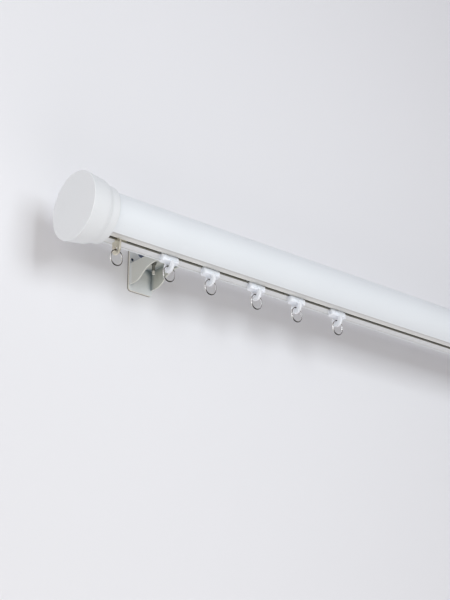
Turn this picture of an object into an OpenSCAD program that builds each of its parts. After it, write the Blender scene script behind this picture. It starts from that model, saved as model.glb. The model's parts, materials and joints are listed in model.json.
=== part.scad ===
// Curtain rod with a built-in track. A round extruded tube has a shallow recess along its
// underside, and a slot in the recess where gliders run. Stepped caps close both ends, and two
// wall brackets hook into a groove at the back of the tube.
// The origin is the middle of the left bracket's two wall fixings, on the wall. +X runs along
// the rod, +Y points into the wall and +Z is up. Sizes are in millimetres.

/* [Rod] */
// Length of the extruded tube
rod_length = 1200; // [1000:10:3000]
// Outer radius of the tube
rod_radius = 25; // [25:0.5:32]
// Wall of the tube
rod_wall = 1.8; // [1.4:0.1:2.2]
// Radius of the ring of screw ports, less than the inside of the tube
port_inset = 3; // [2.8:0.1:3.2]
// Radius of the hole in a screw port
port_hole_radius = 1.7; // [1.4:0.1:1.9]

/* [Track] */
// Half the width of the recess under the tube
recess_half = 12; // [11:0.5:14]
// Height of the track floor above the lowest point of a full tube
recess_depth = 5; // [4.5:0.1:6]
// Rounding of the two lips beside the recess
lip_radius = 1; // [0.6:0.1:1.4]
// Width of the slot that the gliders hang through
slot_width = 4.8; // [4.2:0.1:6]
// Thickness of the track floor, walls and ceiling
track_wall = 1.8; // [1.4:0.1:2.2]
// Inner width of the track
track_width = 17; // [16:0.5:19]
// Inner height of the track
track_height = 10.2; // [9.5:0.1:12]

/* [Bracket groove] */
// Lower edge of the groove's mouth, above the axis
groove_low = 1; // [0:0.5:2]
// Height of the groove's mouth
groove_mouth = 7; // [6:0.5:8]
// Room inside the groove, above and below its mouth
groove_side = 3; // [2:0.5:4]
// Depth of the groove from the back of the tube
groove_depth = 8; // [7:0.5:9]
// Thickness of the ribs round the groove
groove_rib = 1.5; // [1.2:0.1:2]

/* [End caps] */
// Height of the cap's front edge over the tube
cap_face_over = 10; // [8:0.5:14]
// Height of the cap's shoulder over the tube
cap_shoulder_over = 7.2; // [6:0.1:12]
// Height of the cap cover's rear edge over the tube
cap_rear_over = 5.2; // [5:0.1:7]
// Distance of the shoulder from the front face
cap_shoulder_at = 20; // [15:0.5:26]
// Length of the slope behind the shoulder
cap_slope = 4.6; // [3:0.2:7]
// Thickness of the front face
cap_front = 2.5; // [2:0.1:3]
// Wall of the cover at its rear edge
cap_wall = 1.8; // [1.4:0.1:2]
// Edge rounding of the front face
cap_edge = 0.6; // [0.3:0.1:1]
// Distance of the collar's end from the front face
collar_end = 35.5; // [33:0.5:44]
// Height of the collar over the tube at its step
collar_height = 4.4; // [4:0.1:5]
// Height of the collar over the tube at its end
collar_tail = 3.4; // [2.5:0.1:3.8]
// Plain gap between the cover and the collar's step
collar_gap = 0.5; // [0.3:0.1:0.8]
// Thickness of the plate across the tube's end
base_plate = 2; // [1.6:0.1:3]
// Room for screw heads between the front face and that plate
head_room = 2.6; // [2.4:0.1:4]

/* [End stops] */
// Distance of the stop's tab from the cap's face
stop_at = 50.3; // [46:0.1:62]
// Sheet thickness of the tab
tab_sheet = 2; // [1.6:0.1:2.4]
// Width of the tab below the track
tab_width = 12.5; // [10:0.5:14]
// Height of the tab below the track floor
tab_height = 16.5; // [14:0.5:20]
// Clear height between the track floor and the wide part of the tab
tab_shoulder = 2; // [1:0.2:3]
// Radius of the ring hole in the tab
tab_hole_radius = 2; // [1.8:0.1:2.4]
// Length of the clamping block
stop_length = 12; // [10:0.5:16]
// Height of the clamping block
stop_height = 6; // [5:0.2:7]

/* [Gliders] */
// Distances of the gliders from the cap's face
glider_at = [115, 167.7, 228.8, 284.8, 344];
// Length of a glider along the rod
glider_length = 20.4; // [17:0.2:22]
// Running gap between a glider and the track
glider_gap = 0.3; // [0.2:0.05:0.5]
// Height of the glider's head inside the track
head_height = 3.5; // [2.5:0.1:5]
// Half the width of a glider's body under the track
body_half = 4.4; // [4:0.1:5.5]
// Height of the body
body_height = 7; // [6:0.2:8]
// Height of the body's straight sides, below its slopes
body_side = 3.4; // [2.5:0.1:4.5]
// Outer radius of the hook
hook_radius = 7; // [6.5:0.1:7.5]
// Thickness of the hook along the rod
hook_thickness = 2.6; // [2.2:0.1:4]
// Radius of the hook's eye
eye_radius = 4; // [3.6:0.1:4.2]
// Width of the mouth that a ring is put in through
eye_mouth = 3; // [2:0.1:3.4]

/* [Rings] */
// Outer width of a ring
ring_width = 14.6; // [13:0.2:16]
// Outer height of a ring
ring_height = 17.2; // [16:0.2:22]
// Thickness of the wire
wire = 1.3; // [1:0.1:1.5]

/* [Wall brackets] */
// Distance of a bracket's middle from the cap's face
bracket_inset = 131; // [130:1:160]
// Distance of the rod's axis from the wall
wall_gap = 70; // [66:1:100]
// Width of the wall plate
plate_width = 30; // [29:0.5:40]
// Height of the wall plate
plate_height = 70; // [68:1:90]
// Depth of the wall plate's lower edge under the rod's axis
plate_drop = 34.5; // [31:0.5:40]
// Thickness of the wall plate
plate_thickness = 3; // [2.5:0.1:4]
// Corner radius of the wall plate
plate_corner = 3.5; // [2:0.5:5]
// Height of the lower wall fixing over the rod's axis
fixing_low = 9; // [8:0.5:12]
// Spacing of the two wall fixings
fixing_spacing = 16; // [14:0.5:20]
// Distance between the two small spare holes
spare_spacing = 23; // [20:0.5:24]
// Outer width of the arm
arm_width = 29; // [27:0.5:31]
// Sheet thickness of the arm
arm_sheet = 1.6; // [1.2:0.1:2]
// Depth of the arm's top under the rod's axis
arm_top = 5.3; // [5:0.1:7]
// Depth of the arm's lower edge under the axis, at the rod
arm_front_drop = 16.5; // [15:0.5:18]
// Depth of the arm's lower edge under the axis, at the wall
arm_back_drop = 28.4; // [26:0.2:31]
// Radius of the hollow bend in the arm's lower edge
arm_bend = 32; // [26:1:36]
// Steepest slope of the arm's lower edge
arm_slope = 40; // [35:1:45]
// Straight end of the arm's lower edge, at the plate
arm_flat = 7.8; // [4:0.2:10]
// Thickness of the saddle that the rod rests against
saddle = 2.5; // [2:0.1:3]

/* [Clamp] */
// Width of the clamp hook
clamp_width = 16; // [14:0.5:20]
// Sheet thickness of the clamp hook
clamp_sheet = 2.5; // [2:0.1:2.6]
// Distance of the clamp screw from the rod's axis
clamp_screw_at = 46; // [44:0.5:48]
// Length of the clamp hook's foot behind its screw
clamp_tail = 9; // [7:0.5:12]
// Radius of the clamp screw
clamp_screw_radius = 1.5; // [1.2:0.1:2]
// Length of the clamp screw below the arm's top
clamp_screw_reach = 15; // [10:0.5:18]
// Distance across the flats of the clamp nut
nut_flats = 5.5; // [5:0.1:7]
// Height of the clamp nut
nut_height = 2.4; // [2:0.1:3.5]

/* [Fasteners] */
// Radius of a wall screw
wall_screw_radius = 1.95; // [1.7:0.05:2.2]
// Length of a wall screw behind the wall plate
wall_screw_reach = 34; // [30:1:44]
// Radius of a cap screw's head
cap_head_radius = 3.2; // [2.8:0.1:3.4]
// Height of a cap screw's head
cap_head_height = 2.1; // [1.6:0.1:2.3]
// Length of a cap screw
cap_screw_length = 14; // [10:1:20]
// Radius of the stop's clamping screw
stop_screw_radius = 2; // [1.6:0.1:2.1]

/* [Hidden] */
$fn = 72;
fit = 0.05;        // radial gap between a screw and its hole
seat = 0.1;        // gap between round faces of one assembly
cut = 1;           // overrun of a cutting body
port_radius = 3.2;
port_angles = [50, 130, 200];

base_start = cap_front + head_room;
rod_start = base_start + base_plate;
span = rod_length + 2 * rod_start - 2 * bracket_inset;   // between the two brackets
fixing_mid = fixing_low + fixing_spacing / 2;

rod_inner = rod_radius - rod_wall;
port_circle = rod_inner - port_inset;
floor_z = recess_depth - rod_radius;
track_low = floor_z + track_wall;
track_high = track_low + track_height;
lip_y = recess_half + lip_radius;
lip_z = -sqrt(pow(rod_radius - lip_radius, 2) - pow(lip_y, 2));

cap_length = cap_shoulder_at + cap_slope;
cap_inner = rod_radius + cap_rear_over - cap_wall;
head_half = track_width / 2 - 1;
body_top = floor_z - glider_gap;
body_low = body_top - body_height;
hook_z = body_low - 3.5;                 // centre of the hook's outer round
eye_y = 1;
eye_z = hook_z + 2.6;
wire_path = (ring_width - wire) / 2;
ring_z = eye_z - sqrt(pow(eye_radius, 2) - pow(eye_y, 2)) + wire / 2 + 0.5;
stop_ring_z = floor_z - 11.3;
tab_hole_z = stop_ring_z - wire / 2 - 0.45 + tab_hole_radius;

plate_front = wall_gap - plate_thickness;
arm_inner = arm_width - 2 * arm_sheet;
arm_curve_radius = (arm_back_drop - arm_front_drop) / (1 - cos(arm_slope)) - arm_bend;
arm_curve_end = plate_front - arm_flat;
arm_curve_start = arm_curve_end - (arm_bend + arm_curve_radius) * sin(arm_slope);
hook_lip_low = groove_low - groove_side + 0.8;
hook_lip_high = groove_low + groove_mouth / 2 + clamp_sheet / 2;
clamp_back = rod_radius + saddle + 0.4;

sides = ["left", "right"];
end_parts = ["cap_cover", "cap_base", "cap_screws", "stop_tab", "stop_block", "stop_screw",
    "stop_ring", "wall_plate", "bracket_arm", "clamp_hook", "clamp_screw", "clamp_nut",
    "wall_screws"];

// Places a part of one end, drawn from the cap's face and the rod's axis; the right end mirrors
// the left one.
module at_end(side) {
    flip = side == "right" ? 1 : 0;
    translate([flip * span, 0, 0])
        mirror([flip, 0, 0])
            translate([-bracket_inset, -wall_gap, -fixing_mid])
                children();
}

// Extrudes an outline drawn across the rod (Y, Z) along the rod.
module along_rod(from, length) {
    translate([from, 0, 0])
        rotate([90, 0, 90])
            linear_extrude(length)
                children();
}

// Revolves an outline of radius and distance round an axis along the rod.
module round_rod() {
    rotate([0, 90, 0])
        rotate_extrude()
            children();
}

// A round bar along the rod.
module bar_x(from, length, radius) {
    translate([from, 0, 0])
        rotate([0, 90, 0])
            cylinder(h = length, r = radius);
}

// A round bar into the wall.
module bar_y(from, length, radius) {
    translate([0, from, 0])
        rotate([-90, 0, 0])
            cylinder(h = length, r = radius);
}

module centred_square(y_low, y_high, z_low, z_high) {
    translate([y_low, z_low])
        square([y_high - y_low, z_high - z_low]);
}

module rounded_plate(width, low, high, radius) {
    side = width / 2 - radius;
    for (y = [low + radius, high - radius])
        for (x = [-side, side])
            translate([x, y])
                circle(radius);
    translate([-side, low])
        square([2 * side, high - low]);
    translate([-width / 2, low + radius])
        square([width, high - low - 2 * radius]);
}

// ---------------------------------------------------------------- rod

// The corner between the recess and the outer face that the lip's rounding takes away.
module lip_corner() {
    reach = rod_radius / (rod_radius - lip_radius);
    difference() {
        polygon([[recess_half - cut, lip_z], [lip_y, lip_z], [lip_y * reach, lip_z * reach],
            [lip_y * reach, -rod_radius - cut], [recess_half - cut, -rod_radius - cut]]);
        translate([lip_y, lip_z])
            circle(lip_radius);
    }
}

module port_places() {
    for (angle = port_angles)
        rotate(angle)
            translate([port_circle, 0])
                children();
}

module rod_section() {
    groove_top = groove_low + groove_mouth + groove_side;
    groove_base = groove_low - groove_side;
    groove_front = rod_radius - groove_depth;
    difference() {
        union() {
            difference() {
                circle(rod_radius);
                circle(rod_inner);
            }
            intersection() {
                circle(rod_radius - rod_wall / 2);
                union() {
                    centred_square(-rod_radius, rod_radius, floor_z, track_low);
                    centred_square(-track_width / 2 - track_wall, track_width / 2 + track_wall,
                        floor_z, track_high + track_wall);
                    centred_square(groove_front - groove_rib, rod_radius,
                        groove_base - groove_rib, groove_top + groove_rib);
                }
            }
            port_places()
                circle(port_radius);
        }
        centred_square(-recess_half, recess_half, -rod_radius - cut, floor_z);
        centred_square(-track_width / 2, track_width / 2, track_low, track_high);
        centred_square(-slot_width / 2, slot_width / 2, floor_z - cut, track_low + cut);
        for (flip = [0, 1])
            mirror([flip, 0])
                lip_corner();
        intersection() {
            circle(rod_inner);
            centred_square(groove_front, rod_radius, groove_base, groove_top);
        }
        centred_square(rod_inner - 3, rod_radius + cut, groove_low, groove_low + groove_mouth);
        port_places()
            circle(port_hole_radius);
    }
}

module rod_profile() {
    color("white")
        translate([-bracket_inset, -wall_gap, -fixing_mid])
            along_rod(rod_start, rod_length)
                rod_section();
}

// ---------------------------------------------------------------- end caps

module cap_cover() {
    face = rod_radius + cap_face_over - cap_edge;
    color("whitesmoke")
        round_rod()
            polygon(concat([[0, 0]],
                [for (a = [0 : 30 : 90])
                    [face + cap_edge * sin(a), cap_edge - cap_edge * cos(a)]],
                [[rod_radius + cap_shoulder_over, cap_shoulder_at],
                    [rod_radius + cap_rear_over, cap_length], [cap_inner, cap_length],
                    [cap_inner, cap_front], [0, cap_front]]));
}

// Cup that slides over the tube's end: an end plate, a spigot for the cover and a collar.
module cap_base() {
    bore = rod_radius + seat;
    step = rod_radius + collar_height;
    tail = rod_radius + collar_tail;
    spigot = cap_inner - seat;
    round_end = 2;
    collar_start = cap_length + collar_gap;
    color("whitesmoke")
        difference() {
            round_rod()
                polygon(concat([[0, base_start], [spigot, base_start],
                        [spigot, collar_start], [step, collar_start]],
                    [for (a = [0 : 22.5 : 90])
                        [tail - round_end + round_end * cos(a),
                            collar_end - round_end + round_end * sin(a)]],
                    [[bore, collar_end], [bore, rod_start], [0, rod_start]]));
            for (angle = port_angles)
                rotate([angle, 0, 0])
                    translate([0, port_circle, 0])
                        bar_x(base_start - cut, base_plate + 2 * cut, port_hole_radius + 0.4);
        }
}

module cap_screw() {
    shank = port_hole_radius - fit;
    difference() {
        union() {
            bar_x(base_start - cap_head_height, cap_head_height, cap_head_radius);
            bar_x(base_start - fit, cap_screw_length, shank);
        }
        for (turn = [0, 90])
            rotate([turn, 0, 0])
                translate([base_start - cap_head_height - cut, -0.45, -1.9])
                    cube([cut + 1.2, 0.9, 3.8]);
    }
}

module cap_screws() {
    color("silver")
        for (angle = port_angles)
            rotate([angle, 0, 0])
                translate([0, port_circle, 0])
                    cap_screw();
}

// ---------------------------------------------------------------- end stops

// Bent sheet: a foot in the track, and a tab with a hole that hangs through the slot.
module stop_tab() {
    neck = slot_width - 2 * glider_gap;
    corner = tab_width / 2 - 0.3;
    low = floor_z - tab_height;
    foot_end = stop_at + tab_sheet + stop_length;
    color("burlywood")
        difference() {
            union() {
                along_rod(stop_at, tab_sheet) {
                    centred_square(-neck / 2, neck / 2, floor_z - tab_shoulder - cut,
                        track_low + tab_sheet);
                    centred_square(-tab_width / 2, tab_width / 2, low + corner,
                        floor_z - tab_shoulder);
                    centred_square(-0.3, 0.3, low, low + corner);
                    for (y = [-0.3, 0.3])
                        translate([y, low + corner])
                            circle(corner);
                }
                translate([stop_at, -track_width / 2 + 1, track_low])
                    cube([foot_end - stop_at, track_width - 2, tab_sheet]);
            }
            translate([stop_at - cut, 0, tab_hole_z])
                bar_x(0, tab_sheet + 2 * cut, tab_hole_radius);
            translate([foot_end - stop_length / 2, 0, track_low - cut])
                cylinder(h = tab_sheet + 2 * cut, r = stop_screw_radius + fit);
        }
}

module stop_block() {
    start = stop_at + tab_sheet;
    color("gray")
        difference() {
            translate([start, -track_width / 2 + 1, track_low + tab_sheet])
                cube([stop_length, track_width - 2, stop_height]);
            translate([start + stop_length / 2, 0, track_low])
                cylinder(h = track_height, r = stop_screw_radius + fit);
        }
}

// Set screw that pushes against the track's ceiling; it is turned through the slot.
module stop_screw() {
    low = track_low + 0.5;
    color("dimgray")
        translate([stop_at + tab_sheet + stop_length / 2, 0, 0])
            difference() {
                translate([0, 0, low])
                    cylinder(h = track_high - low, r = stop_screw_radius);
                translate([0, 0, low - cut])
                    cylinder(h = cut + 2, r = 1.1, $fn = 6);
            }
}

// ---------------------------------------------------------------- gliders and rings

// The hook: a thick front leg that curls under to a round tip, and a thin leg behind the mouth.
module hook_outline() {
    difference() {
        union() {
            translate([0, hook_z])
                circle(hook_radius);
            polygon([[-hook_radius, hook_z], [hook_radius, hook_z],
                [body_half, body_low + body_side], [-body_half, body_low + body_side]]);
        }
        translate([eye_y, eye_z]) {
            circle(eye_radius);
            rotate(-50)
                centred_square(eye_radius / 2, 2 * hook_radius, -eye_mouth / 2, eye_mouth / 2);
        }
    }
}

// Body under the track, seen along the rod: a neck's width on top, and straight sides below.
module body_outline() {
    neck = slot_width / 2 - glider_gap;
    polygon([[-neck, body_top], [neck, body_top], [body_half, body_low + body_side],
        [body_half, body_low], [-body_half, body_low], [-body_half, body_low + body_side]]);
}

module glider(at) {
    neck = slot_width - 2 * glider_gap;
    color("white")
        translate([at, 0, 0]) {
            translate([-glider_length / 2, -head_half, track_low + glider_gap])
                cube([glider_length, 2 * head_half, head_height]);
            translate([-glider_length / 2 + 2, -neck / 2, body_top - cut])
                cube([glider_length - 4, neck, track_wall + 2 * glider_gap + 2 * cut]);
            intersection() {
                along_rod(-glider_length / 2, glider_length)
                    body_outline();
                translate([0, 0, body_low])
                    linear_extrude(body_height)
                        rounded_plate(glider_length, -body_half, body_half, 2.8);
            }
            along_rod(-hook_thickness / 2, hook_thickness)
                hook_outline();
        }
}

// A flat oval ring that hangs from the middle of its top wire.
module ring() {
    straight = ring_height - ring_width;
    color("silver") {
        for (half = [0, 1])
            translate([0, 0, -wire_path - half * straight])
                rotate([90 - 180 * half, 0, 0])
                    rotate_extrude(angle = 180)
                        translate([wire_path, 0])
                            circle(wire / 2);
        for (x = [-wire_path, wire_path])
            translate([x, 0, -wire_path - straight])
                cylinder(h = straight, r = wire / 2);
    }
}

module stop_ring() {
    translate([stop_at + tab_sheet / 2, 0, stop_ring_z])
        ring();
}

module glider_ring(at) {
    translate([at, 0, ring_z])
        ring();
}

// ---------------------------------------------------------------- wall brackets

module fixing_places() {
    for (z = [fixing_low, fixing_low + fixing_spacing])
        translate([bracket_inset, 0, z])
            children();
}

module wall_plate() {
    color("gainsboro")
        difference() {
            translate([bracket_inset, wall_gap, 0])
                rotate([90, 0, 0])
                    linear_extrude(plate_thickness)
                        rounded_plate(plate_width, -plate_drop, plate_height - plate_drop,
                            plate_corner);
            fixing_places() {
                bar_y(plate_front - cut, plate_thickness + 2 * cut, wall_screw_radius + 0.35);
                translate([0, plate_front, 0])
                    rotate([-90, 0, 0])
                        cylinder(h = 2.1, r1 = wall_screw_radius + 2.45,
                            r2 = wall_screw_radius + 0.35);
            }
            for (x = [-spare_spacing / 2, spare_spacing / 2])
                translate([bracket_inset + x, 0, -0.5])
                    bar_y(plate_front - cut, plate_thickness + 2 * cut, 1.7);
        }
}

// Side of the arm: straight on top, and hollowed to an S-shaped sweep below.
module cheek_outline() {
    difference() {
        polygon(concat(
            [[rod_radius / 2, -arm_front_drop]],
            [for (a = [0 : 4 : arm_slope])
                [arm_curve_start + arm_bend * sin(a), -arm_front_drop - arm_bend * (1 - cos(a))]],
            [for (a = [arm_slope - 4 : -4 : 0])
                [arm_curve_end - arm_curve_radius * sin(a),
                    -arm_back_drop + arm_curve_radius * (1 - cos(a))]],
            [[plate_front, -arm_back_drop], [plate_front, -arm_top],
                [rod_radius / 2, -arm_top]]));
        circle(rod_radius + seat);
    }
}

module bracket_arm() {
    left = bracket_inset - arm_width / 2;
    color("lightgray")
        difference() {
            union() {
                for (x = [left, left + arm_width - arm_sheet])
                    along_rod(x, arm_sheet)
                        cheek_outline();
                along_rod(left, arm_width)
                    difference() {
                        union() {
                            centred_square(rod_radius / 2, plate_front, -arm_top - arm_sheet,
                                -arm_top);
                            intersection() {
                                circle(rod_radius + seat + saddle);
                                centred_square(rod_radius / 2, 2 * rod_radius,
                                    -arm_front_drop, -arm_top);
                            }
                        }
                        circle(rod_radius + seat);
                    }
            }
            translate([bracket_inset, clamp_screw_at, -arm_top - arm_sheet - cut])
                cylinder(h = arm_sheet + 2 * cut, r = clamp_screw_radius + fit);
        }
}

// Bent strip that lies on the arm and reaches into the groove at the back of the tube.
module clamp_hook() {
    lip_back = rod_inner - 0.3;
    lip_front = lip_back - 2.2;
    base = -arm_top;
    color("darkgray")
        difference() {
            along_rod(bracket_inset - clamp_width / 2, clamp_width) {
                centred_square(clamp_back, clamp_screw_at + clamp_tail, base,
                    base + clamp_sheet);
                centred_square(clamp_back, clamp_back + clamp_sheet, base, hook_lip_high);
                centred_square(lip_front, clamp_back + clamp_sheet,
                    hook_lip_high - clamp_sheet, hook_lip_high);
                centred_square(lip_front, lip_back, hook_lip_low, hook_lip_high);
            }
            translate([bracket_inset, clamp_screw_at, base - cut])
                cylinder(h = clamp_sheet + 2 * cut, r = clamp_screw_radius + fit);
        }
}

module clamp_screw() {
    head = clamp_sheet - arm_top;
    color("silver")
        translate([bracket_inset, clamp_screw_at, 0])
            difference() {
                union() {
                    translate([0, 0, -arm_top - clamp_screw_reach])
                        cylinder(h = clamp_screw_reach + clamp_sheet, r = clamp_screw_radius);
                    translate([0, 0, head])
                        cylinder(h = 2.6, r = clamp_screw_radius + 1.25);
                }
                translate([0, 0, head + 0.8])
                    cylinder(h = 4, r = clamp_screw_radius * 0.9, $fn = 6);
            }
}

module clamp_nut() {
    color("silver")
        translate([bracket_inset, clamp_screw_at, -arm_top - arm_sheet - nut_height])
            difference() {
                cylinder(h = nut_height, r = nut_flats / 2 / cos(30), $fn = 6);
                translate([0, 0, -cut])
                    cylinder(h = nut_height + 2 * cut, r = clamp_screw_radius + fit);
            }
}

module wall_screw() {
    head_radius = wall_screw_radius + 2.25;
    difference() {
        union() {
            translate([0, plate_front + 0.1, 0])
                rotate([-90, 0, 0])
                    cylinder(h = 2.2, r1 = head_radius, r2 = wall_screw_radius - 0.2);
            bar_y(plate_front + 2, plate_thickness, wall_screw_radius - 0.2);
            bar_y(wall_gap + 0.2, wall_screw_reach - plate_thickness - 0.2, wall_screw_radius);
            translate([0, plate_front + wall_screw_reach, 0])
                rotate([-90, 0, 0])
                    cylinder(h = 3, r1 = wall_screw_radius, r2 = 0.3);
        }
        for (turn = [0, 90])
            rotate([0, turn, 0])
                translate([-2.1, plate_front - cut, -0.5])
                    cube([4.2, cut + 1.5, 1]);
    }
}

module wall_screws() {
    color("silver")
        fixing_places()
            wall_screw();
}

// ---------------------------------------------------------------- assembly

rod_profile();
for (s = sides) {
    at_end(s) cap_cover();
    at_end(s) cap_base();
    at_end(s) cap_screws();
    at_end(s) stop_tab();
    at_end(s) stop_block();
    at_end(s) stop_screw();
    at_end(s) stop_ring();
    at_end(s) wall_plate();
    at_end(s) bracket_arm();
    at_end(s) clamp_hook();
    at_end(s) clamp_screw();
    at_end(s) clamp_nut();
    at_end(s) wall_screws();
    for (i = [1 : len(glider_at)]) {
        at = glider_at[i - 1];
        at_end(s) glider(at);
        at_end(s) glider_ring(at);
    }
}
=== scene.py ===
"""Curtain rod with brackets: materials, detailed pieces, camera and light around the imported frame.
Everything is in metres, in the row frame: +X along the rod, +Y into the wall, +Z up."""
import json
import math

import bpy
from mathutils import Matrix, Vector


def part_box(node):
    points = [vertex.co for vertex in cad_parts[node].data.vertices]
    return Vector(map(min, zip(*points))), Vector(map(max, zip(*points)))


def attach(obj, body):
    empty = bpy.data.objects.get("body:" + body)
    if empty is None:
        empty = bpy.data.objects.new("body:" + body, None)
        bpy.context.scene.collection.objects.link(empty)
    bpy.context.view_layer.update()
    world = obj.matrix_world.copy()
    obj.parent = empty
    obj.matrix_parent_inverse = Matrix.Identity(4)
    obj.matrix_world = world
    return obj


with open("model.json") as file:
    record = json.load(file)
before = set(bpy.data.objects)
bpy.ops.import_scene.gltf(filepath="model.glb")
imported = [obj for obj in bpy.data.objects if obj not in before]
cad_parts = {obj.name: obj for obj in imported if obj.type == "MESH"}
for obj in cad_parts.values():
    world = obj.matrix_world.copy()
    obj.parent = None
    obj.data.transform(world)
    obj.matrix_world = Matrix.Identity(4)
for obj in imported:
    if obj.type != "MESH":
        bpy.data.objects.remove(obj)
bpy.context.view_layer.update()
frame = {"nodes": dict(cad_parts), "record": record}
NODES = frame["nodes"]
SIDES = ("left", "right")

# ------------------------------------------------------------------ places from the frame

cover_low, cover_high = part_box("left_cap_cover")
plate_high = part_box("left_wall_plate")[1]
AXIS_Y = (cover_low.y + cover_high.y) / 2
AXIS_Z = (cover_low.z + cover_high.z) / 2
FACE_X = cover_low.x
WALL_Y = plate_high.y

# The rod's section, which is the same all along it. Heights are over the recess's floor, and
# the others are distances from the rod's middle plane.
FLOOR_Z = AXIS_Z - 0.020
RECESS_HALF = 0.0121
LIP_HALF = 0.0135
TRACK_HALF = 0.0087
TRACK_TOP = 0.0125
SLOT_DEPTH = 0.00175
FLOOR_SKIN = 0.0001
LOWEST = -0.02
TINT_TURN = 0.003
# Where the painted shade band along the recess's front edge begins and where it is full
SHADE_LINE_START, SHADE_LINE_END = 0.0075, 0.0105

# The brackets: distance between their middles, and half the room inside an arm
SPAN = (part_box("right_wall_plate")[0].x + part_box("right_wall_plate")[1].x) / 2
ARM_HALF = 0.0131
PLATE_FRONT = WALL_Y - 0.0028
PLATE_BACK = WALL_Y - 0.00005
# Where the painted light near the wall begins
NEAR_WALL = WALL_Y - 0.008
# Where the painted contact shadow on the plate's sides begins and where it is full
CONTACT_SHADOW_START, CONTACT_SHADOW_END = WALL_Y - 0.0017, WALL_Y - 0.0008
# Reach of the painted shade in the plate's holes
HOLES_HALF, HOLES_LOW, HOLES_HIGH = 0.0134, AXIS_Z - 0.004, AXIS_Z + 0.030
# Where the painted shade on the clamp screw ends below and where it is full above
UPPER_SHADE_START, UPPER_SHADE_END = AXIS_Z - 0.0175, AXIS_Z - 0.0160

# A lower bound that leaves a range open
OPEN = -1.0

# ------------------------------------------------------------------ camera

AZIMUTH, ELEVATION = math.radians(-40.09), math.radians(-21.94)
DISTANCE = 1.5521
LENS = 91.53
AIM_ALONG = 0.1869
AIM_UP = -0.0444


def make_camera():
    back = Vector((math.sin(AZIMUTH) * math.cos(ELEVATION),
                   -math.cos(AZIMUTH) * math.cos(ELEVATION), math.sin(ELEVATION)))
    right = Vector((math.cos(AZIMUTH), math.sin(AZIMUTH), 0))
    up = back.cross(right)
    aim = Vector((FACE_X + AIM_ALONG, AXIS_Y, AXIS_Z)) + up * AIM_UP
    data = bpy.data.cameras.new("camera")
    data.sensor_width = 36
    data.lens = LENS
    data.clip_start, data.clip_end = 0.05, 60
    camera = bpy.data.objects.new("camera", data)
    rotation = Matrix((right, up, back)).transposed().to_4x4()
    camera.matrix_world = Matrix.Translation(aim + back * DISTANCE) @ rotation
    bpy.context.scene.collection.objects.link(camera)
    bpy.context.scene.camera = camera


# ------------------------------------------------------------------ material tools

class Graph:
    """Short calls for building one node material."""

    def __init__(self, name, roughness, metallic=0.0, **sockets):
        self.material = bpy.data.materials.new(name)
        self.material.use_nodes = True
        self.tree = self.material.node_tree
        self.shader = self.tree.nodes["Principled BSDF"]
        self.output = self.tree.nodes["Material Output"]
        self.set("Metallic", metallic)
        self.set("Roughness", roughness)
        for socket, value in sockets.items():
            self.set(socket.replace("_", " "), value)
        self.place = self.node("ShaderNodeTexCoord").outputs["Object"]
        split = self.node("ShaderNodeSeparateXYZ", {0: self.place})
        self.along, self.deep, self.height = (split.outputs[axis] for axis in "XYZ")

    def set(self, socket, value):
        self.shader.inputs[socket].default_value = value

    def node(self, kind, inputs=None, **fields):
        made = self.tree.nodes.new(kind)
        for field, value in fields.items():
            setattr(made, field, value)
        for socket, value in (inputs or {}).items():
            target = made.inputs[socket]
            if isinstance(value, bpy.types.NodeSocket):
                self.tree.links.new(value, target)
            else:
                target.default_value = value
        return made

    def link(self, source, socket):
        self.tree.links.new(source, self.shader.inputs[socket])

    def noise(self, scale, detail=2.0, rough=0.5, stretch=(1, 1, 1)):
        mapped = self.node("ShaderNodeMapping", {"Vector": self.place, "Scale": stretch})
        made = self.node("ShaderNodeTexNoise", {
            "Vector": mapped.outputs["Vector"], "Scale": scale, "Detail": detail,
            "Roughness": rough})
        return made.outputs["Fac"]

    def ramp(self, source, low, high, to_low=0.0, to_high=1.0):
        made = self.node("ShaderNodeMapRange", {
            "Value": source, "From Min": low, "From Max": high, "To Min": to_low,
            "To Max": to_high})
        return made.outputs["Result"]

    def mix(self, factor, first, second):
        made = self.node("ShaderNodeMix", data_type="RGBA")
        for socket, value in ((0, factor), (6, first), (7, second)):
            if isinstance(value, bpy.types.NodeSocket):
                self.tree.links.new(value, made.inputs[socket])
            else:
                made.inputs[socket].default_value = value
        return made.outputs[2]

    def math(self, operation, first, second=0.5):
        made = self.node("ShaderNodeMath", {0: first, 1: second}, operation=operation)
        return made.outputs["Value"]

    def product(self, *factors):
        result = factors[0]
        for factor in factors[1:]:
            result = self.math("MULTIPLY", result, factor)
        return result

    def off(self, value, middle):
        """Distance of a value from the middle."""
        return self.math("ABSOLUTE", self.math("SUBTRACT", value, middle))

    def between(self, value, low, high):
        """1 where the value lies between low and high."""
        above = self.math("GREATER_THAN", value, low)
        return self.product(above, self.math("LESS_THAN", value, high))

    def bump(self, height, strength, distance):
        made = self.node("ShaderNodeBump", {"Height": height, "Strength": strength,
                                            "Distance": distance})
        self.link(made.outputs["Normal"], "Normal")

    def edges(self, radius):
        """1 on edges and corners, where painted highlights go, 0 on flat faces."""
        bevel = self.node("ShaderNodeBevel", {"Radius": radius})
        plain = self.node("ShaderNodeNewGeometry")
        dot = self.node("ShaderNodeVectorMath", {0: bevel.outputs["Normal"],
                                                 1: plain.outputs["Normal"]},
                        operation="DOT_PRODUCT")
        return self.ramp(dot.outputs["Value"], 1.0, 0.75)

    def corners(self, reach):
        """1 deep in inner corners, 0 on open faces."""
        shut = self.node("ShaderNodeAmbientOcclusion", {"Distance": reach})
        return self.ramp(shut.outputs["AO"], 0.9, 0.45)


# The direction in which the room is dark, for small mirroring parts
ROOM_SIDE = (0.66, -0.35, -0.66)


def colour(red, green, blue):
    return (red, green, blue, 1.0)


def coat_colour(g, base, tint):
    """A faint drift of tone with a few specks in it."""
    body = g.mix(g.ramp(g.noise(9.0, 3.0), 0.3, 0.7), base, tint)
    speck = g.ramp(g.noise(260.0, 2.0, 0.6), 0.70, 0.78)
    return g.mix(g.product(speck, 0.10), body, colour(0.45, 0.44, 0.42))


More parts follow.
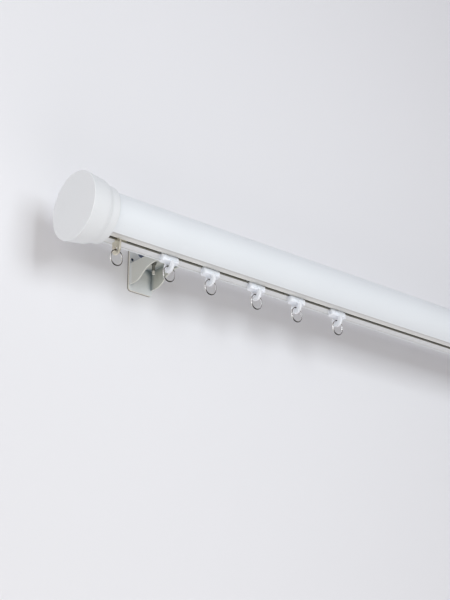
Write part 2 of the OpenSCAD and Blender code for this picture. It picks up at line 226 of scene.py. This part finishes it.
def coat_surface(g, roughness):
    """Orange peel, and slightly duller patches."""
    grain = 900.0
    peel = g.math("ADD", g.product(g.noise(grain * 0.35), 0.7), g.product(g.noise(grain), 0.3))
    g.link(g.ramp(g.noise(26.0, 4.0), 0.25, 0.75, roughness - 0.05, roughness + 0.07),
           "Roughness")
    g.bump(peel, 0.25, 0.00004)


def cap_coat(name):
    g = Graph(name, 0.46)
    g.link(coat_colour(g, colour(0.76, 0.78, 0.785), colour(0.785, 0.80, 0.805)), "Base Color")
    coat_surface(g, 0.46)
    return g.material


def rod_coat(name):
    """The tube's coat: a painted shade line on the front lip and a painted shade band along the
    recess's front edge, a warmer recess, and painted shade on the slot's sides and in the
    track behind them."""
    g = Graph(name, 0.42)
    across = g.off(g.deep, AXIS_Y)
    over = g.math("SUBTRACT", g.height, FLOOR_Z)
    body = coat_colour(g, colour(0.765, 0.795, 0.815), colour(0.79, 0.82, 0.84))
    # Painted shade: a dark line on the front lip and a dark band along the recess's front edge
    shade_line = colour(0.58, 0.58, 0.565)
    front_lip = g.between(g.deep, AXIS_Y - LIP_HALF, AXIS_Y - RECESS_HALF)
    body = g.mix(g.product(front_lip, g.between(over, LOWEST, 0.0)), body, shade_line)
    recess = g.mix(g.ramp(g.deep, AXIS_Y - TINT_TURN, AXIS_Y + TINT_TURN),
                   colour(0.78, 0.78, 0.75), colour(0.76, 0.77, 0.77))
    recess = g.mix(g.ramp(g.deep, AXIS_Y - SHADE_LINE_START, AXIS_Y - SHADE_LINE_END), recess, shade_line)
    in_recess = g.product(g.between(across, 0.0, RECESS_HALF),
                          g.between(over, LOWEST, FLOOR_SKIN))
    body = g.mix(in_recess, body, recess)
    # Painted shade: the slot's sides are painted dark grey and the track behind them near black,
    # where shade falls inside the slot
    in_track = g.between(across, 0.0, TRACK_HALF)
    body = g.mix(g.product(in_track, g.between(over, FLOOR_SKIN, SLOT_DEPTH)), body,
                 colour(0.42, 0.42, 0.37))
    body = g.mix(g.product(in_track, g.between(over, SLOT_DEPTH, TRACK_TOP)), body,
                 colour(0.16, 0.155, 0.125))
    g.link(body, "Base Color")
    coat_surface(g, 0.42)
    return g.material


def bracket_coat(name):
    """The brackets' coat: painted light making it lighter and bluer near the wall, painted shade in
    the arm's inner corners, a painted light cream highlight on the edges, the plate's sides painted
    lit cream with a painted contact shadow along the wall, and painted shade in dark blue in the
    plate's holes."""
    g = Graph(name, 0.45)
    body = coat_colour(g, colour(0.62, 0.63, 0.575), colour(0.66, 0.67, 0.62))
    # Painted light: the coat turns lighter and bluer towards the wall, over the lit plate
    near_wall = g.ramp(g.deep, NEAR_WALL, PLATE_FRONT)
    body = g.mix(near_wall, body, colour(0.775, 0.805, 0.805))
    aside = g.off(g.off(g.along, SPAN / 2), SPAN / 2)
    inside = g.product(g.between(aside, OPEN, ARM_HALF), g.between(g.deep, OPEN, PLATE_FRONT))
    # Painted shade: dark slate in the arm's inner corners, from ambient occlusion
    body = g.mix(g.product(inside, g.corners(0.008), 0.85), body, colour(0.17, 0.23, 0.26))
    # Painted highlight: light cream on the edges
    body = g.mix(g.edges(0.0007), body, colour(0.95, 0.92, 0.83))
    # Painted light and shadow: the plate's sides are painted lit cream, darkening to a painted
    # contact shadow along the wall
    plate_side = g.between(g.deep, PLATE_FRONT, PLATE_BACK)
    plate_side_light_and_shadow = g.mix(g.ramp(g.deep, CONTACT_SHADOW_START, CONTACT_SHADOW_END), colour(0.76, 0.74, 0.66),
                  colour(0.20, 0.19, 0.17))
    body = g.mix(plate_side, body, plate_side_light_and_shadow)
    # Painted shade: the plate's holes are painted dark blue
    in_hole = g.product(plate_side, g.between(aside, OPEN, HOLES_HALF),
                        g.between(g.height, HOLES_LOW, HOLES_HIGH))
    body = g.mix(in_hole, body, colour(0.08, 0.12, 0.20))
    g.link(body, "Base Color")
    coat_surface(g, 0.45)
    return g.material


def moulded_plastic(name, base, tint):
    """White acetal with a soft sheen: light passes a little way in, and flow marks show faintly."""
    g = Graph(name, 0.5, IOR=1.4, Specular_IOR_Level=0.15)
    g.set("Subsurface Weight", 0.95)
    g.set("Subsurface Radius", (0.0045, 0.0045, 0.0045))
    g.set("Subsurface Scale", 1.0)
    flow = g.noise(120.0, 3.0, 0.5, (1, 1, 3))
    g.link(g.mix(g.ramp(flow, 0.3, 0.7), base, tint), "Base Color")
    g.link(g.ramp(g.noise(300.0, 3.0), 0.3, 0.7, 0.44, 0.58), "Roughness")
    g.bump(g.noise(700.0, 2.0), 0.15, 0.00005)
    return g.material


def metal(name, base, tint, roughness, stretch=(1, 1, 1), shade=None, edge_highlight=None,
          upper_shade=None):
    """Plated or brushed metal: fine drawn lines, blotches in the plate, duller spots. With a
    shade colour, faces turned to the dark side of the room are darker, as the plate mirrors
    it. The edge highlight colour is a painted highlight on edges, and the upper shade colour is
    painted shade on the upper part."""
    g = Graph(name, roughness, 1.0)
    blotch = g.noise(45.0, 4.0, 0.6)
    lines = g.noise(350.0, 3.0, 0.6, stretch)
    body = g.mix(g.ramp(blotch, 0.35, 0.65), base, tint)
    if shade:
        normal = g.node("ShaderNodeNewGeometry").outputs["Normal"]
        facing = g.node("ShaderNodeVectorMath", {0: normal, 1: ROOM_SIDE},
                        operation="DOT_PRODUCT").outputs["Value"]
        body = g.mix(g.ramp(facing, -0.05, 0.2), body, shade)
    # Painted highlight on the edges
    if edge_highlight:
        body = g.mix(g.edges(0.0004), body, edge_highlight)
    # Painted shade on the upper part
    if upper_shade:
        body = g.mix(g.ramp(g.height, UPPER_SHADE_START, UPPER_SHADE_END), body, upper_shade)
    g.link(body, "Base Color")
    g.link(g.ramp(g.math("ADD", g.math("MULTIPLY", blotch, 0.5),
                         g.math("MULTIPLY", lines, 0.5)),
                  0.3, 0.7, max(roughness - 0.08, 0.03), roughness + 0.12), "Roughness")
    g.bump(lines, 0.3, 0.00002)
    return g.material


MATERIALS = {
    "rod_paint": rod_coat("rod_paint"),
    "cap_paint": cap_coat("cap_paint"),
    "bracket_paint": bracket_coat("bracket_paint"),
    "glider_plastic": moulded_plastic("glider_plastic", colour(0.78, 0.81, 0.86),
                                      colour(0.81, 0.84, 0.89)),
    "nickel_wire": metal("nickel_wire", colour(0.96, 0.94, 0.92), colour(0.84, 0.82, 0.80),
                         0.13, (1, 1, 6), shade=colour(0.03, 0.027, 0.024)),
    # The stop tab's edges get a painted highlight
    "passivated_steel": metal("passivated_steel", colour(0.78, 0.73, 0.60),
                              colour(0.70, 0.66, 0.56), 0.36, (1, 8, 1),
                              edge_highlight=colour(0.98, 0.95, 0.88)),
    # The clamp screw gets painted shade on its upper part, which lies in the arm's shade
    "zinc": metal("zinc", colour(0.90, 0.87, 0.78), colour(0.80, 0.78, 0.72), 0.38, (6, 1, 1),
                  upper_shade=colour(0.26, 0.26, 0.23)),
    "dark_steel": metal("dark_steel", colour(0.20, 0.24, 0.32), colour(0.13, 0.16, 0.23), 0.32,
                        (1, 1, 5)),
}


# Edge rounding of each part, in millimetres
EDGES = {"rod_profile": 0.25, "cap_cover": 0.5, "cap_base": 0.35, "cap_screws": 0.2,
         "stop_tab": 0.3, "stop_block": 0.3, "stop_screw": 0.15, "wall_plate": 0.7,
         "bracket_arm": 0.35, "clamp_hook": 0.4, "clamp_screw": 0.25, "clamp_nut": 0.35,
         "wall_screws": 0.15, "glider": 0.8}


def part_of(node):
    """The part's name without its side and number."""
    words = [w for w in node.split("_") if w not in SIDES and not w.isdigit()]
    return "_".join(words)


def round_edges(piece, width):
    """Joins the faces of a CAD piece and rounds its sharp edges."""
    weld = piece.modifiers.new("weld", "WELD")
    weld.merge_threshold = 0.000002
    bevel = piece.modifiers.new("round", "BEVEL")
    bevel.width = width
    bevel.segments = 3
    bevel.limit_method = "ANGLE"
    bevel.angle_limit = math.radians(38)
    bevel.use_clamp_overlap = True
    smooth = piece.modifiers.new("smooth", "WEIGHTED_NORMAL")
    smooth.keep_sharp = False
    smooth.weight = 90


def paint_nodes():
    for row in frame["record"]["subparts"]:
        piece = NODES[row["node"]]
        piece.data.materials.clear()
        piece.data.materials.append(MATERIALS[row["material_slot"]])
        width = EDGES.get(part_of(row["node"]))
        if width:
            round_edges(piece, width * 0.001)


# ------------------------------------------------------------------ screw threads

# Radius of the shank, height of the ridge and pitch
WALL_THREAD = (0.00195, 0.0006, 0.0024)
CLAMP_THREAD = (0.0015, 0.0002, 0.0005)

# The ridge's flanks are this steep, and its foot lies this far into the shank
FLANK = 3.2
FOOT = 0.985


def add_thread(name, start, along, thread, length, material):
    """A helical ridge round a screw's plain shank; it fades out at both ends."""
    radius, ridge, pitch = thread
    across = along.orthogonal().normalized()
    other = along.cross(across)
    around, per_turn = 24, 10
    rings = round(length / pitch * per_turn)
    vertices, faces = [], []
    for i in range(rings + 1):
        reach = length * i / rings
        fade = min(1.0, reach / pitch, (length - reach) / pitch)
        for j in range(around):
            turn = (reach / pitch - j / around) % 1.0
            height = max(0.0, 1.0 - abs(turn - 0.5) * FLANK)
            r = radius * FOOT + ridge * height * fade
            angle = 2 * math.pi * j / around
            vertices.append(start + along * reach
                            + (across * math.cos(angle) + other * math.sin(angle)) * r)
            if i < rings:
                k = (j + 1) % around
                faces.append((i * around + j, i * around + k, (i + 1) * around + k,
                              (i + 1) * around + j))
    mesh = bpy.data.meshes.new(name)
    mesh.from_pydata([tuple(v) for v in vertices], [], faces)
    mesh.materials.append(MATERIALS[material])
    for face in mesh.polygons:
        face.use_smooth = True
    piece = bpy.data.objects.new(name, mesh)
    bpy.context.scene.collection.objects.link(piece)
    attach(piece, "root")


# Lengths left without a thread
PLAIN_NECK, PLAIN_ENDS = 0.001, 0.004
NUT_GAP, CLAMP_PLAIN = 0.0001, 0.0004


def thread_screws():
    into_wall, down = Vector((0, 1, 0)), Vector((0, 0, -1))
    for side in SIDES:
        low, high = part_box(f"{side}_wall_screws")
        middle_x = (low.x + high.x) / 2
        head = (high.x - low.x) / 2
        for number, z in enumerate((low.z + head, high.z - head), 1):
            add_thread(f"{side}_wall_thread_{number}", Vector((middle_x, WALL_Y + PLAIN_NECK, z)),
                       into_wall, WALL_THREAD, high.y - WALL_Y - PLAIN_ENDS, "dark_steel")
        low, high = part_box(f"{side}_clamp_screw")
        nut_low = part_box(f"{side}_clamp_nut")[0]
        centre = (low + high) / 2
        add_thread(f"{side}_clamp_thread", Vector((centre.x, centre.y, nut_low.z - NUT_GAP)),
                   down, CLAMP_THREAD, nut_low.z - low.z - CLAMP_PLAIN, "zinc")


# ------------------------------------------------------------------ stage and light

def stage_material(name, base, one_sided=False):
    g = Graph(name, 0.9)
    drift = g.noise(1.3, 3.0)
    g.link(g.mix(g.ramp(drift, 0.3, 0.7), base, tuple(c * 0.985 for c in base[:3]) + (1.0,)),
           "Base Color")
    g.bump(g.noise(140.0, 4.0, 0.6), 0.12, 0.0006)
    if one_sided:
        clear = g.node("ShaderNodeBsdfTransparent")
        back = g.node("ShaderNodeNewGeometry").outputs["Backfacing"]
        both = g.node("ShaderNodeMixShader", {0: back, 1: g.shader.outputs["BSDF"],
                                              2: clear.outputs["BSDF"]})
        g.tree.links.new(both.outputs["Shader"], g.output.inputs["Surface"])
    return g.material


def flat_stage(name, corners, material):
    mesh = bpy.data.meshes.new(name)
    mesh.from_pydata([tuple(c) for c in corners], [], [(0, 1, 2, 3)])
    mesh.materials.append(material)
    stage = bpy.data.objects.new(name, mesh)
    bpy.context.scene.collection.objects.link(stage)


def make_stage():
    """The wall and the floor. The wall lies a hair in front of the plates' backs, so that the
    two don't fall together, and can be looked through from behind."""
    wide, floor_z, wall_top, far, behind = 4.0, -1.9, 2.2, -4.0, 3.0
    wall = stage_material("wall_paint", colour(0.82, 0.82, 0.835), True)
    floor = stage_material("floor_paint", colour(0.78, 0.78, 0.79))
    wall_y = WALL_Y - 0.0001
    flat_stage("wall", [(-wide, wall_y, floor_z), (wide, wall_y, floor_z),
                        (wide, wall_y, wall_top), (-wide, wall_y, wall_top)], wall)
    flat_stage("floor", [(-wide, far, floor_z), (wide, far, floor_z),
                         (wide, behind, floor_z), (-wide, behind, floor_z)], floor)


def area_light(name, place, target, size, watts, tone):
    data = bpy.data.lights.new(name, "AREA")
    data.size = size
    data.energy = watts
    data.color = tone
    light = bpy.data.objects.new(name, data)
    light.location = place
    light.rotation_mode = "QUATERNION"
    light.rotation_quaternion = (Vector(target) - Vector(place)).to_track_quat("-Z", "Y")
    bpy.context.scene.collection.objects.link(light)


def make_light():
    world = bpy.data.worlds.new("studio")
    world.use_nodes = True
    background = world.node_tree.nodes["Background"]
    background.inputs["Color"].default_value = colour(1.0, 0.95, 0.99)
    background.inputs["Strength"].default_value = 0.375
    bpy.context.scene.world = world
    middle = Vector((0.15, AXIS_Y, AXIS_Z))
    area_light("key", middle + Vector((-0.15, -1.5, 0.20)), middle, size=0.70,
               watts=12.3, tone=(0.855, 0.91, 0.96))
    area_light("left", middle + Vector((-1.7, -0.7, 0.1)), middle, size=1.2,
               watts=8.2, tone=(0.97, 0.965, 1.0))
    area_light("below", middle + Vector((-0.2, -0.8, -1.5)), middle, size=1.2,
               watts=6.9, tone=(1.0, 0.96, 0.955))
    area_light("camera_side", middle + Vector((-1.1, -1.5, -0.75)), middle, size=0.8,
               watts=1.8, tone=(1.0, 0.99, 0.5))
    bpy.context.scene.view_settings.view_transform = "Standard"


make_camera()
make_stage()
make_light()
paint_nodes()
thread_screws()
